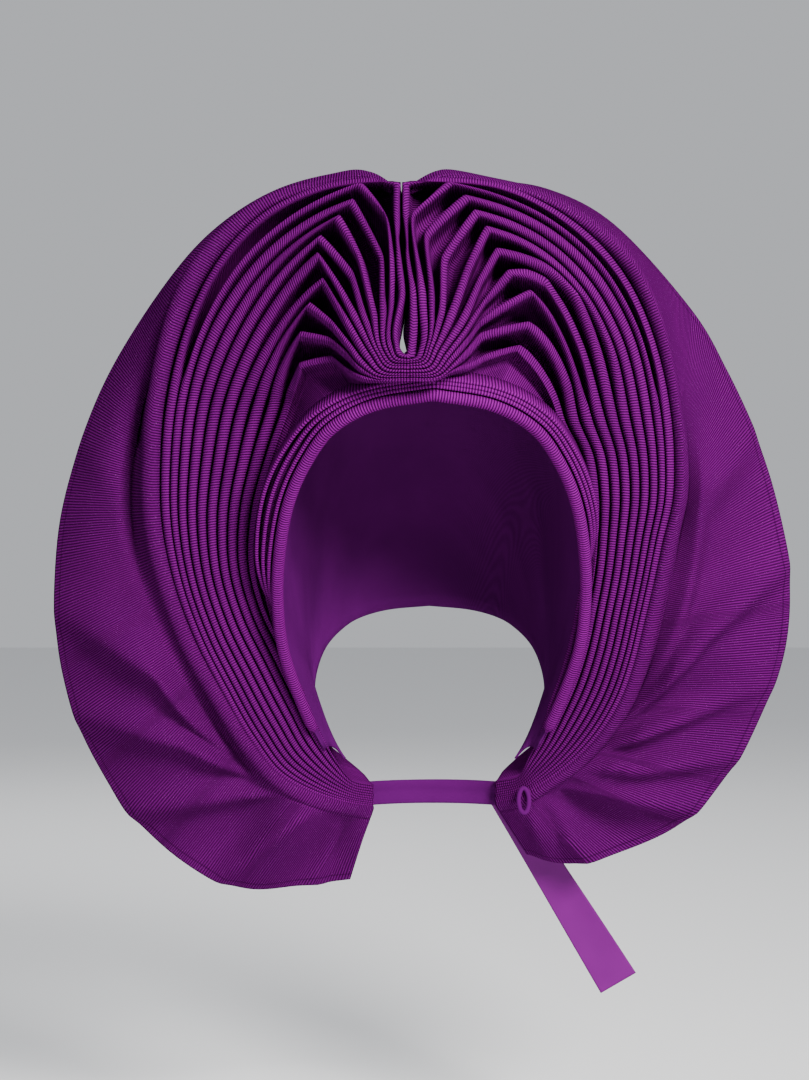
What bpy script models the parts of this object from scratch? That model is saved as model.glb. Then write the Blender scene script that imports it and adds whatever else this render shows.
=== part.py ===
"""Tied gele head tie: ribbed cloth, pleated, pinched over the forehead and gathered at the nape.

Metres, +Z up, the wearer looks to -Y. The origin is where the crown of the head sits.
"""

import math

import bpy
import bmesh
import numpy as np

for old in list(bpy.data.objects):
    bpy.data.objects.remove(old, do_unlink=True)

MM = 0.001
GAP = 0.3  # between neighbouring pieces, mm

# Pleats: sizes in mm
PLEATS = 10
CLOTH = 1.15  # wall of the folded cloth
THIN_CLOTH = 0.42  # where the folds are squeezed together
PINCH_DROP = 13.5  # from the innermost turn of the pinch to the outermost
PINCH_HOOK = 4.5
PINCH_AHEAD = 16.0  # how far the pinch stands ahead of the face band
PINCH_ABOVE = 3.4  # and above its middle
PINCH_ASIDE = -0.16  # off the middle of the head, as a share of half its breadth
SLOT_ASIDE = -0.20  # the slot between the two centre folds, the same way
TURN_DEPTH = 5.5
CREST_DEPTH = 33.0
FAN_RISE = 101.6  # crest of the outermost fold above the pinch
HALF_SPREAD = 200.0  # half the width over both wings
RIM_RISE = 310.0  # from the gathers to the top of the rim
BROAD_ROLL = 9.0  # how far the broad roll stands outside the folds
GROOVE = 24.0  # the deepest dip between the broad roll and the flare
BELLY = 9.0  # how far the flare bellies forward
SHARE_BEND = 1.18  # how the folds crowd toward the outer side
LAST_REACH = 0.5  # the innermost leaf's reach, as a share of the last pitch
LAST_DEPTH = 0.30  # and its depth, as a share of the others'

# Crown, band and ties: sizes in mm
GATHER_Y = 46.0
HEAD_X = -2.0
HALF_BREADTH = 76.0
FACE_RISE = 231.0  # from the gathers up the slope of the face opening to its top
FACE_ANGLE = 123.2
GATHER_Z = -0.961 * FACE_RISE
BAND_RADIUS = 2.9
LAYERS = 3
LAYER_DEEP = 9.0
LAYER_WALL = 1.1
LEFT_SPREAD = 2.6  # how far the layers part at the temples
RIGHT_SPREAD = 0.7
WRAP_WALL = 1.5
RIGHT_SQUARE = 0.0  # how much of the left's squareness the right of the crown has
WING_WALL = 1.2
STRAP_HALF = 40.0  # half the length of the nape strap
STRAP_BACK = 35.6  # how far its middle stands behind the gathers
STRAP_BOW = 13.0
STRAP_LOW = 17.0  # how far it lies below the gathers
STRAP_WIDTH = 13.0
STRAP_WALL = 1.6
LOOP_RADIUS = 1.2
LOOP_TALL = 6.5
LOOP_WIDE = 2.8
TAIL_SHARE = 0.9  # where the tail starts, as a share of the strap's half length
TAIL_WIDTH = 23.0
TAIL_WALL = 1.0
TAIL_ASIDE = 68.0
TAIL_DROP = 110.0

# One row for each fold, outermost first: where it turns over at its crest, where its fan limb
# bends, and how far its shoulder bulges toward a full corner. x is a share of half the head's
# breadth, y of the way from the gathers forward to the pinch, z of the fan's rise.
CREST = ("x", "y", "z", "bend_x", "bend_z", "bulge")
LEFT_CREST = (
    (-0.250, 0.856, 1.000, -0.229, 0.642, 0.85),
    (-0.486, 0.856, 0.971, -0.232, 0.888, 0.60),
    (-0.549, 0.856, 0.881, -0.257, 0.711, 0.54),
    (-0.645, 0.849, 0.806, -0.434, 0.691, 0.44),
    (-0.761, 0.835, 0.719, -0.493, 0.691, 0.33),
    (-0.754, 0.842, 0.631, -0.603, 0.514, 0.28),
    (-0.728, 0.849, 0.501, -0.621, 0.322, 0.30),
    (-0.820, 0.814, 0.402, -0.579, 0.307, 0.26),
    (-0.842, 0.786, 0.281, -0.592, 0.222, 0.28),
    (-0.866, 0.744, 0.112, -0.618, 0.184, 0.05),
)
RIGHT_CREST = (
    (-0.155, 0.856, 1.000, -0.139, 0.642, 0.93),
    (0.151, 0.856, 0.971, -0.145, 0.898, 0.76),
    (0.209, 0.856, 0.906, -0.079, 0.775, 0.70),
    (0.272, 0.849, 0.830, 0.041, 0.661, 0.68),
    (0.363, 0.842, 0.760, 0.205, 0.587, 0.68),
    (0.395, 0.842, 0.656, 0.255, 0.425, 0.80),
    (0.478, 0.835, 0.551, 0.293, 0.360, 0.60),
    (0.629, 0.800, 0.471, 0.283, 0.346, 0.38),
    (0.592, 0.786, 0.320, 0.321, 0.308, 0.50),
    (0.542, 0.772, 0.191, 0.346, 0.175, 0.35),
)

# One row for each level down the side, to the nape: fold 01, fold 10, how far the broad roll lies
# outside fold 01, and how deep the folds go. outer_x is a share of half the spread, inner_x of
# half the head's breadth, z of the way from the gathers up to the pinch.
LEVEL = ("outer_x", "outer_y", "outer_z", "inner_x", "inner_y", "inner_z", "roll", "depth")
LEFT_LEVEL = (
    (-0.657, 0.533, 0.986, -0.937, 0.618, 0.982, 1.00, 0.97),
    (-0.675, 0.491, 0.833, -1.070, 0.547, 0.844, 0.87, 0.91),
    (-0.677, 0.442, 0.678, -1.179, 0.477, 0.704, 0.82, 0.85),
    (-0.653, 0.386, 0.521, -1.214, 0.414, 0.574, 0.72, 0.79),
    (-0.602, 0.316, 0.361, -1.159, 0.309, 0.454, 0.67, 0.70),
    (-0.541, 0.239, 0.225, -1.004, 0.225, 0.318, 0.56, 0.61),
    (-0.470, 0.154, 0.086, -0.866, 0.133, 0.193, 0.44, 0.48),
    (-0.403, 0.084, -0.009, -0.767, 0.056, 0.093, 0.33, 0.36),
    (-0.303, 0.028, -0.068, -0.658, -0.007, 0.011, 0.27, 0.27),
    (-0.217, -0.035, -0.099, -0.566, -0.056, -0.038, 0.24, 0.18),
    (-0.155, -0.126, -0.117, -0.408, -0.140, -0.061, 0.22, 0.15),
)
RIGHT_LEVEL = (
    (0.595, 0.519, 0.935, 0.842, 0.604, 0.931, 0.78, 0.97),
    (0.605, 0.477, 0.833, 0.966, 0.533, 0.845, 0.78, 0.91),
    (0.605, 0.442, 0.730, 1.018, 0.491, 0.742, 0.72, 0.88),
    (0.586, 0.400, 0.626, 1.034, 0.435, 0.639, 0.62, 0.82),
    (0.568, 0.358, 0.521, 1.029, 0.379, 0.547, 0.56, 0.76),
    (0.548, 0.309, 0.414, 0.997, 0.323, 0.454, 0.51, 0.70),
    (0.527, 0.253, 0.306, 0.959, 0.260, 0.360, 0.47, 0.61),
    (0.495, 0.182, 0.196, 0.900, 0.182, 0.263, 0.42, 0.52),
    (0.443, 0.112, 0.097, 0.826, 0.112, 0.170, 0.36, 0.42),
    (0.371, 0.042, 0.013, 0.757, 0.035, 0.076, 0.31, 0.33),
    (0.311, -0.000, -0.037, 0.697, -0.014, 0.020, 0.27, 0.24),
    (0.247, -0.042, -0.081, 0.653, -0.056, -0.023, 0.24, 0.18),
    (0.180, -0.126, -0.107, 0.474, -0.140, -0.051, 0.22, 0.15),
)

# One row for each station of the rim, from the notch at the top round to the nape; groove is how
# deep the cloth dips between the broad roll and the flare, lift how far the flare bellies forward.
# x is a share of half the spread, z of the rim's rise.
RIM = ("x", "y", "z", "groove", "lift")
LEFT_RIM = (
    (-0.087, 0.309, 0.987, 0.25, 0.00),
    (-0.165, 0.300, 0.995, 0.28, 0.00),
    (-0.265, 0.281, 0.997, 0.33, 0.00),
    (-0.444, 0.239, 0.974, 0.67, 0.22),
    (-0.621, 0.218, 0.891, 0.92, 0.56),
    (-0.802, 0.211, 0.729, 1.00, 0.89),
    (-0.908, 0.196, 0.585, 1.00, 1.00),
    (-0.982, 0.182, 0.415, 0.83, 0.89),
    (-0.993, 0.126, 0.225, 0.50, 0.44),
    (-0.943, 0.056, 0.076, 0.38, 0.67),
    (-0.842, -0.014, -0.053, 0.50, 1.00),
    (-0.730, -0.084, -0.141, 0.58, 0.44),
    (-0.620, -0.140, -0.195, 0.33, -0.56),
    (-0.498, -0.196, -0.225, 0.08, 0.44),
    (-0.361, -0.239, -0.222, 0.21, -0.56),
    (-0.222, -0.267, -0.213, 0.08, 0.33),
)
RIGHT_RIM = (
    (-0.067, 0.309, 0.987, 0.25, 0.00),
    (0.010, 0.300, 0.996, 0.28, 0.00),
    (0.120, 0.281, 1.001, 0.33, 0.00),
    (0.300, 0.239, 0.991, 0.42, 0.22),
    (0.480, 0.218, 0.932, 0.50, 0.44),
    (0.683, 0.211, 0.789, 0.42, 0.67),
    (0.777, 0.204, 0.687, 0.38, 0.78),
    (0.843, 0.196, 0.594, 0.33, 0.78),
    (0.898, 0.182, 0.500, 0.33, 0.67),
    (0.938, 0.161, 0.397, 0.38, 0.33),
    (0.955, 0.133, 0.294, 0.33, 0.67),
    (0.943, 0.098, 0.199, 0.25, 0.89),
    (0.900, 0.056, 0.111, 0.42, 0.22),
    (0.833, 0.007, 0.018, 0.38, 0.67),
    (0.723, -0.056, -0.079, 0.12, 0.56),
    (0.592, -0.119, -0.138, 0.25, -0.44),
    (0.403, -0.182, -0.178, 0.12, 0.44),
    (0.272, -0.239, -0.166, 0.12, 0.22),
)

FACE_TURN = math.radians(FACE_ANGLE)
FACE_TOP_Y = GATHER_Y + FACE_RISE * math.cos(FACE_TURN)
FACE_TOP_Z = GATHER_Z + FACE_RISE * math.sin(FACE_TURN)
PINCH_X = HEAD_X + PINCH_ASIDE * HALF_BREADTH
PINCH_Y = FACE_TOP_Y - PINCH_AHEAD
PINCH_LOW_Z = FACE_TOP_Z + PINCH_ABOVE
SLOT_X = HEAD_X + SLOT_ASIDE * HALF_BREADTH

# The arch of the head seen square on, as shares of its rise and of half the head's breadth.
ARCH = ("rise", "breadth")
HEAD_ARCH = (
    (0.00, 0.57), (0.15, 0.82), (0.33, 0.97), (0.48, 1.00), (0.62, 0.97),
    (0.74, 0.90), (0.84, 0.78), (0.92, 0.62), (0.975, 0.36), (1.00, 0.0),
)

# One row for each rib of the crown wrap, forehead to nape: angle round the gather, rise, breadth,
# the share of the arch at which its foot stops, and how round (1) or square (less) its top is.
RIB = ("angle", "rise", "breadth", "foot", "square")
WRAP_RIB = (
    (121.0, 0.987, 0.97, 0.17, 1.00),
    (115.0, 1.052, 0.97, 0.17, 0.50),
    (107.0, 1.043, 0.97, 0.17, 0.50),
    (98.0, 0.996, 0.96, 0.15, 0.70),
    (88.0, 0.909, 0.94, 0.12, 0.85),
    (78.0, 0.805, 0.89, 0.08, 1.00),
    (68.0, 0.649, 0.76, 0.05, 1.00),
    (60.0, 0.424, 0.55, 0.02, 1.00),
)


def columns(names, rows):
    """A table as arrays by column name."""
    table = np.array(rows, dtype=float)
    return {name: table[:, i] for i, name in enumerate(names)}


def bezier(start, control, end, shares):
    """Points along one quadratic curve."""
    t = np.asarray(shares)[:, None]
    return (1 - t) ** 2 * start + 2 * t * (1 - t) * control + t**2 * end


def forward(share):
    """A place between the gathers (0) and the pinch (1), seen from the side."""
    return GATHER_Y + share * (PINCH_Y - GATHER_Y)


def up_side(share):
    """A height between the gathers (0) and the pinch (1)."""
    return GATHER_Z + share * (PINCH_LOW_Z - GATHER_Z)


def cloth_material(name, colour, roughness):
    """Cloth of one colour."""
    material = bpy.data.materials.new(name)
    material.use_nodes = True
    shader = material.node_tree.nodes["Principled BSDF"]
    shader.inputs["Base Color"].default_value = (*colour, 1.0)
    shader.inputs["Roughness"].default_value = roughness
    shader.inputs["Metallic"].default_value = 0.0
    material.diffuse_color = (*colour, 1.0)
    return material


collection = bpy.data.collections.new("tied_gele_head_tie")
bpy.context.scene.collection.children.link(collection)
RIBBED = (0.150, 0.014, 0.180)
PLAIN = (0.075, 0.012, 0.095)
SATIN = (0.230, 0.030, 0.270)


def add_object(name, data, colour, roughness):
    """One named piece with its own material."""
    piece = bpy.data.objects.new(name, data)
    data.materials.append(cloth_material(name + "_cloth", colour, roughness))
    collection.objects.link(piece)
    return piece


def mesh_from(name, points, faces):
    """A shaded-smooth mesh with its faces turned outward."""
    mesh = bpy.data.meshes.new(name)
    mesh.from_pydata([tuple(p) for p in points], [], faces)
    work = bmesh.new()
    work.from_mesh(mesh)
    bmesh.ops.recalc_face_normals(work, faces=work.faces)
    for face in work.faces:
        face.smooth = True
    work.to_mesh(mesh)
    work.free()
    return mesh


def loft(name, rings, colour, roughness=0.6):
    """A closed solid through rings of equal count, capped at both ends."""
    rings = np.asarray(rings) * MM
    count, around = rings.shape[:2]
    faces = []
    for s in range(count - 1):
        for i in range(around):
            j = (i + 1) % around
            a = s * around
            b = a + around
            faces.append((a + i, a + j, b + j, b + i))
    faces.append(tuple(range(around)))
    faces.append(tuple(range((count - 1) * around, count * around)))
    mesh = mesh_from(name, rings.reshape(-1, 3), faces)
    return add_object(name, mesh, colour, roughness)


def cloth_sheet(name, grid, wall, colour, roughness=0.6):
    """An open sheet of points given its wall by Solidify."""
    grid = np.asarray(grid) * MM
    rows, cols = grid.shape[:2]
    faces = []
    for s in range(rows - 1):
        for i in range(cols - 1):
            a = s * cols + i
            faces.append((a, a + 1, a + cols + 1, a + cols))
    mesh = mesh_from(name, grid.reshape(-1, 3), faces)
    piece = add_object(name, mesh, colour, roughness)
    solidify = piece.modifiers.new("wall", "SOLIDIFY")
    solidify.thickness = wall * MM
    solidify.offset = 0.0
    solidify.use_even_offset = False
    return piece


TURN = (0.0, 0.45, 1.0)  # shares of the turn at the pinch at which its stations lie
FAN = (0.36, 0.7, 1.0)  # of the fan up to the crest
SHOULDER = (0.22, 0.45, 0.7)  # and of the shoulder behind it
FIRST_FAN = (0.5, 1.0)  # fold 01 turns one station before the others
FIRST_SHOULDER = (0.09, 0.30, 0.49, 0.72)
FIRST_CREST = len(TURN) + len(FIRST_FAN) - 1


def pleat_lines(side, crest_rows, level_rows, reach):
    """The ridge of every fold, from the pinch up to its crest and down to the nape."""
    crest = columns(CREST, crest_rows)
    crest["x"] = HEAD_X + crest["x"] * HALF_BREADTH
    crest["y"] = forward(crest["y"])
    crest["z"] = PINCH_LOW_Z + crest["z"] * FAN_RISE
    crest["bend_x"] = HEAD_X + crest["bend_x"] * HALF_BREADTH
    crest["bend_z"] = PINCH_LOW_Z + crest["bend_z"] * FAN_RISE
    level = columns(LEVEL, level_rows)
    level["outer_x"] = HEAD_X + level["outer_x"] * HALF_SPREAD
    level["inner_x"] = HEAD_X + level["inner_x"] * HALF_BREADTH
    level["outer_y"] = forward(level["outer_y"])
    level["inner_y"] = forward(level["inner_y"])
    level["outer_z"] = up_side(level["outer_z"])
    level["inner_z"] = up_side(level["inner_z"])
    level["roll"] = level["roll"] * BROAD_ROLL
    level["depth"] = level["depth"] * CREST_DEPTH
    first_level = len(level["roll"])
    lines = []
    for k in range(PLEATS):
        share = k / (PLEATS - 1)
        low = PINCH_LOW_Z + PINCH_DROP * (1 - share)
        bottom = np.array([PINCH_X + side * GAP / 2, PINCH_Y, low])
        foot_reach = (reach[0] + (reach[1] - reach[0]) * share ** reach[2]) * HALF_BREADTH
        hook = PINCH_HOOK * (1 - share) + 0.5
        foot = np.array([PINCH_X + side * foot_reach, PINCH_Y + 1.0, bottom[2] + hook])
        elbow = np.array([PINCH_X + side * foot_reach * 0.9, PINCH_Y, bottom[2]])
        turn = bezier(bottom, elbow, foot, TURN)
        top = np.array([crest["x"][k], crest["y"][k], crest["z"][k]])
        bend = np.array([crest["bend_x"][k], (PINCH_Y + top[1]) / 2 - 2, crest["bend_z"][k]])
        fan = bezier(foot, bend, top, FAN if k else FIRST_FAN)
        along = share**SHARE_BEND
        levels = np.zeros((first_level, 3))
        for i, axis in enumerate("xyz"):
            outer = level["outer_" + axis]
            inner = level["inner_" + axis]
            levels[:, i] = outer + (inner - outer) * along
        middle = (top + levels[0]) / 2
        corner = np.array([levels[0][0], middle[1] - 6, top[2]])
        control = middle + crest["bulge"][k] * (corner - middle)
        shoulder = bezier(top, control, levels[0], SHOULDER if k else FIRST_SHOULDER)
        lines.append(np.vstack([turn, fan, shoulder, levels]))
    return np.array(lines), level


def depths_of(level):
    """How deep the folds go at each station."""
    turn = [TURN_DEPTH, TURN_DEPTH, TURN_DEPTH + 2]
    fan = [12.0, 24.0, CREST_DEPTH]
    shoulder = [CREST_DEPTH, CREST_DEPTH, CREST_DEPTH]
    return np.array(turn + fan + shoulder + list(level["depth"]))


def roll_line(lines, level, side):
    """The broad roll outside fold 01, from the notch to the nape."""
    first = lines[0][FIRST_CREST:]
    along = np.gradient(first, axis=0)
    away = np.zeros_like(first)
    away[:, 0] = -side * along[:, 2]
    away[:, 2] = side * along[:, 0]
    away /= np.linalg.norm(away, axis=1)[:, None]
    offset = np.concatenate([[4.5, 4.8, 5.6, 6.8, 8.2], level["roll"]])
    roll = first + away * offset[:, None]
    roll[0] = first[0] + np.array([side * 1.2, 4.0, 4.2])
    return roll


def square_on(side, along):
    """How much of a side vector is square to the way the fold runs."""
    length = max(np.linalg.norm(side), 1e-6)
    over = np.dot(side, along) / length
    return length * max(math.sqrt(max(1 - over * over, 0.0)), 0.35)


def pleat_section(ridge, outer, inner, along, depth, inner_depth):
    """The ring of one fold at one station: two leaves that meet in a rounded ridge."""
    back = np.array([0.0, depth, 0.0])
    back_in = np.array([0.0, inner_depth, 0.0])
    wide_out = square_on(outer, along)
    wide_in = square_on(inner, along)
    wall = min(CLOTH, max(THIN_CLOTH, 0.5 * min(wide_out, wide_in)))
    ring = []
    gap_out = GAP / 2 / wide_out
    gap_in = GAP / 2 / wide_in
    fall_out = min(wall / wide_out, 0.45)
    fall_in = min(wall / wide_in, 0.45)
    ring.append(ridge + outer * (1 - gap_out) + back)
    ring.append(ridge + outer * 0.52 + back * 0.11)
    ring.append(ridge + outer * 0.02)
    ring.append(ridge + inner * 0.52 + back * 0.11)
    ring.append(ridge + inner * (1 - gap_in) + back_in)
    under = np.array([0.0, wall, 0.0])
    ring.append(ridge + inner * (1 - gap_in - fall_in) + back_in)
    ring.append(ridge + inner * max(0.52 - fall_in, 0.12) + back * 0.11 + under * 1.1)
    ring.append(ridge + under)
    ring.append(ridge + outer * max(0.52 - fall_out, 0.12) + back * 0.11 + under * 1.1)
    ring.append(ridge + outer * (1 - gap_out - fall_out) + back)
    return ring


def with_middles(grid, straight):
    """A row between each two rows: straight for the first columns, rounded for the rest."""
    rows = [grid[0]]
    for s in range(len(grid) - 1):
        before = grid[max(s - 1, 0)]
        after = grid[min(s + 2, len(grid) - 1)]
        middle = (grid[s] + grid[s + 1]) * 0.5625 - (before + after) * 0.0625
        middle[:straight] = (grid[s][:straight] + grid[s + 1][:straight]) / 2
        rows.append(middle)
        rows.append(grid[s + 1])
    return np.array(rows)


def add_side(word, side, crest_rows, level_rows, rim_rows, reach):
    """All the folds of one side and its wing."""
    lines, level = pleat_lines(side, crest_rows, level_rows, reach)
    depths = depths_of(level)
    roll = roll_line(lines, level, side)
    stations = lines.shape[1]
    slot = lines[0].copy()
    slot[: FIRST_CREST + 1, 0] = np.linspace(PINCH_X, SLOT_X, FIRST_CREST + 1)
    slot[0] = lines[0][0] + np.array([0.0, 0.0, 1.2])
    slot[1] = lines[0][1] + np.array([-side * 0.6, 0.0, 1.3])
    slot[FIRST_CREST, 2] += 2.2
    for k in range(PLEATS):
        rings = []
        ways = np.gradient(lines[k], axis=0)
        ways /= np.linalg.norm(ways, axis=1)[:, None]
        for s in range(stations):
            ridge = lines[k][s]
            if k > 0:
                outer = (lines[k - 1][s] - ridge) / 2
            elif s <= FIRST_CREST:
                outer = slot[s] - ridge
            else:
                outer = (roll[s - FIRST_CREST] - ridge) / 2
            if k < PLEATS - 1:
                inner = (lines[k + 1][s] - ridge) / 2
            else:
                inner = (ridge - lines[k - 1][s]) * LAST_REACH
            inner_depth = depths[s] * (LAST_DEPTH if k == PLEATS - 1 else 1.0)
            rings.append(pleat_section(ridge, outer, inner, ways[s], depths[s], inner_depth))
        loft("pleat_%s_%02d" % (word, k + 1), rings, RIBBED)

    rim = columns(RIM, rim_rows)
    rim["x"] = HEAD_X + rim["x"] * HALF_SPREAD
    rim["y"] = forward(rim["y"])
    rim["z"] = GATHER_Z + rim["z"] * RIM_RISE
    grid = []
    for s in range(len(roll)):
        ridge = roll[s]
        first = lines[0][s + FIRST_CREST]
        depth = depths[s + FIRST_CREST]
        edge = np.array([rim["x"][s], rim["y"][s], rim["z"][s]])
        inward = (first - ridge) / 2
        wide = np.linalg.norm(inward)
        slant = 1.9 if s < 5 else 1.0
        clear = min(slant * (GAP + WING_WALL) / wide, 0.7)
        if s == 0:
            inward = np.array([0.0, -1.5, -1.8])
            clear = 0.0
            depth = 16.0
        out = edge - ridge
        out[1] = 0.0
        out /= np.linalg.norm(out)
        row = [
            ridge + inward * (1 - clear) + (0, depth * 0.8, 0),
            ridge + inward * 0.62 + (0, depth * 0.12, 0),
            ridge,
            ridge + out * 3.0 + (0, 2.5, 0),
        ]
        groove = rim["groove"][s] * GROOVE
        dip = ridge + out * 6.0 + (0, groove, 0)
        row.append(dip)
        lift = rim["lift"][s] * BELLY
        for share in (0.3, 0.66, 1.0):
            belly = math.sin(math.pi * share**0.8) * lift
            row.append(dip + (edge - dip) * share - (0, belly, 0))
        grid.append(row)
    cloth_sheet("wing_" + word, with_middles(np.array(grid), 3), WING_WALL, RIBBED)


def arch_points(angle, rise, breadth, shares, square=1.0):
    """Points of one arch of the head, left foot over the top to the right foot."""
    arch = columns(ARCH, HEAD_ARCH)
    order = np.linspace(0, 1, len(HEAD_ARCH))
    turn = math.radians(angle)
    points = []
    for share in shares:
        side = -1 if share < 0.5 else 1
        climb = 1 - abs(2 * share - 1)
        up = np.interp(climb, order, arch["rise"]) * rise
        wide = np.interp(climb, order, arch["breadth"])
        if climb > 0.3:
            wide = wide ** (square if side < 0 else 1 - (1 - square) * RIGHT_SQUARE)
        wide *= HALF_BREADTH * breadth
        y = GATHER_Y + up * math.cos(turn)
        z = GATHER_Z + up * math.sin(turn)
        points.append((HEAD_X + side * wide, y, z))
    return np.array(points)


def add_crown():
    """The plain wrap over the crown, the rolled band at its front and the layers between."""
    grid = []
    for angle, rise, breadth, foot, square in WRAP_RIB:
        rise *= FACE_RISE
        grid.append(arch_points(angle, rise, breadth, np.linspace(foot, 1 - foot, 17), square))
    cloth_sheet("crown_wrap", grid, WRAP_WALL, PLAIN)

    shares = np.linspace(0.04, 0.96, 27)
    path = arch_points(FACE_ANGLE, FACE_RISE, 1.04, shares)
    curve = bpy.data.curves.new("face_band", "CURVE")
    curve.dimensions = "3D"
    curve.bevel_depth = BAND_RADIUS * MM
    curve.bevel_resolution = 1
    curve.use_fill_caps = True
    spline = curve.splines.new("POLY")
    spline.points.add(len(path) - 1)
    for point, place in zip(spline.points, path):
        point.co = (*(place * MM), 1.0)
    add_object("face_band", curve, RIBBED, 0.6)

    path = arch_points(FACE_ANGLE, FACE_RISE, 1.04, np.linspace(0.14, 0.81, 19))
    back = np.array([0.0, math.sin(FACE_TURN), -math.cos(FACE_TURN)])
    along = np.gradient(path, axis=0)
    for n in range(LAYERS):
        rings = []
        for i, place in enumerate(path):
            beside = 2 * i / (len(path) - 1) - 1
            spread = LEFT_SPREAD if beside < 0 else RIGHT_SPREAD
            spread *= math.sin(math.pi * abs(beside) ** 1.3)
            grow = BAND_RADIUS + 3 * GAP + LAYER_WALL + n * (LAYER_WALL + GAP + spread)
            out = np.cross(along[i], back)
            out /= np.linalg.norm(out)
            front = back * (1.2 * n - 1.0)
            far = front + back * LAYER_DEEP
            near_side = place + out * (grow - LAYER_WALL / 2)
            far_side = place + out * (grow + LAYER_WALL / 2)
            rings.append((far_side + front, far_side + far, near_side + far, near_side + front))
        loft("band_layer_%d" % (n + 1), rings, RIBBED)


def strip(path, wide, thick, width, wall):
    """Rings of a flat band along a path, given which way its width and wall face."""
    rings = []
    for place, across, through, share in zip(path, wide, thick, width):
        across = np.array(across) / np.linalg.norm(across) * share / 2
        through = np.array(through) / np.linalg.norm(through) * wall / 2
        rings.append((place + across + through, place - across + through,
                      place - across - through, place + across - through))
    return rings


def strap_place(share):
    """The middle line of the nape strap, -1 at its left end to 1 at its right, and its slope."""
    x = STRAP_HALF * share
    y = GATHER_Y + STRAP_BACK - STRAP_BOW * abs(share) ** 2.2
    slope = -2.2 * STRAP_BOW * abs(share) ** 1.2 * np.sign(share) / STRAP_HALF
    return np.array((x, y, GATHER_Z - STRAP_LOW)), slope


def add_ties():
    """The band behind the nape, the loop at the right gather and the loose tail."""
    path = []
    through = []
    for share in np.linspace(-1, 1, 11):
        place, slope = strap_place(share)
        path.append(place)
        through.append((-slope, 1.0, 0.0))
    across = [(0.0, 0.0, 1.0)] * len(path)
    width = [STRAP_WIDTH] * len(path)
    loft("nape_strap", strip(path, across, through, width, STRAP_WALL), PLAIN)

    curve = bpy.data.curves.new("tie_loop", "CURVE")
    curve.dimensions = "3D"
    curve.bevel_depth = LOOP_RADIUS * MM
    curve.bevel_resolution = 1
    spline = curve.splines.new("POLY")
    turns = 10
    spline.points.add(turns - 1)
    centre = np.array((0.643 * HALF_BREADTH, GATHER_Y + 1.7, GATHER_Z - 1.07 * STRAP_LOW))
    for i in range(turns):
        angle = 2 * math.pi * i / turns
        x = centre[0] + LOOP_WIDE * math.sin(angle)
        y = centre[1] + 1.5 * math.cos(angle)
        z = centre[2] + LOOP_TALL * math.cos(angle)
        spline.points[i].co = (x * MM, y * MM, z * MM, 1.0)
    spline.use_cyclic_u = True
    add_object("tie_loop", curve, RIBBED, 0.6)

    start, slope = strap_place(TAIL_SHARE)
    outward = np.array((-slope, 1.0, 0.0)) / math.hypot(slope, 1.0)
    start += outward * (STRAP_WALL / 2 + GAP + TAIL_WALL / 2 + 0.1)
    path = []
    wide = []
    thick = []
    width = []
    for share in np.linspace(0, 1, 9):
        swing = 22.0 * (1 - (1 - share) ** 3)
        path.append(start + np.array((TAIL_ASIDE * share, swing, -TAIL_DROP * share)))
        wide.append((0.86, 0.86 * slope * (1 - share), 0.5))
        thick.append((-slope * (1 - share), 1.0, 0.1 * share))
        width.append(TAIL_WIDTH * (0.72 + 0.28 * share))
    loft("tie_tail", strip(path, wide, thick, width, TAIL_WALL), SATIN, 0.4)


add_side("left", -1, LEFT_CREST, LEFT_LEVEL, LEFT_RIM, (0.051, 0.226, 0.6))
add_side("right", 1, RIGHT_CREST, RIGHT_LEVEL, RIGHT_RIM, (0.045, 0.362, 1.0))
add_crown()
add_ties()
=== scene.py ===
import math

import bpy
import numpy as np
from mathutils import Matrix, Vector


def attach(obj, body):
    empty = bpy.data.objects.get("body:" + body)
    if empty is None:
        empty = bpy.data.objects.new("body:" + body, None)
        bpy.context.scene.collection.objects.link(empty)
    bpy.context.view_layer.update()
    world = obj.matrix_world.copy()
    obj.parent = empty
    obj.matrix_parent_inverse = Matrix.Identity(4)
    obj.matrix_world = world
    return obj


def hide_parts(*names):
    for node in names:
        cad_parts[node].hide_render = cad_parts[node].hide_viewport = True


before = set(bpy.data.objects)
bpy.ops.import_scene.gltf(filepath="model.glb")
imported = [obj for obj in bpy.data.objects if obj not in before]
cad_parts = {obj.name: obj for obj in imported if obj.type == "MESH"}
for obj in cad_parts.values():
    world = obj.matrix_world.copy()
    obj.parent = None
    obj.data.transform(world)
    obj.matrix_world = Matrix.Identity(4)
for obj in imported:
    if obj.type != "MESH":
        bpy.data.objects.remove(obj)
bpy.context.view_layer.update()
print("stage: frame loaded,", len(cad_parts), "nodes")

mm = 0.001


class Socket:
    # a shader socket that takes part in plain arithmetic
    def __init__(self, tree, link):
        self.tree, self.link = tree, link

    def maths(self, operation, *others):
        node = self.tree.nodes.new("ShaderNodeMath")
        node.operation = operation
        for index, value in enumerate((self,) + others):
            feed(self.tree, node.inputs[index], value)
        return Socket(self.tree, node.outputs[0])

    def __add__(self, other): return self.maths("ADD", other)
    def __radd__(self, other): return self.maths("ADD", other)
    def __sub__(self, other): return self.maths("SUBTRACT", other)
    def __rsub__(self, other): return (self * -1.0).maths("ADD", other)
    def __mul__(self, other): return self.maths("MULTIPLY", other)
    def __rmul__(self, other): return self.maths("MULTIPLY", other)
    def __pow__(self, other): return self.maths("POWER", other)
    def __lt__(self, other): return self.maths("LESS_THAN", other)
    def __gt__(self, other): return self.maths("GREATER_THAN", other)
    def sine(self): return self.maths("SINE")
    def size(self): return self.maths("ABSOLUTE")
    def within(self): return self.maths("MINIMUM", 1.0).maths("MAXIMUM", 0.0)


def feed(tree, socket, value):
    if isinstance(value, Socket):
        tree.links.new(value.link, socket)
    else:
        socket.default_value = value


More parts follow.
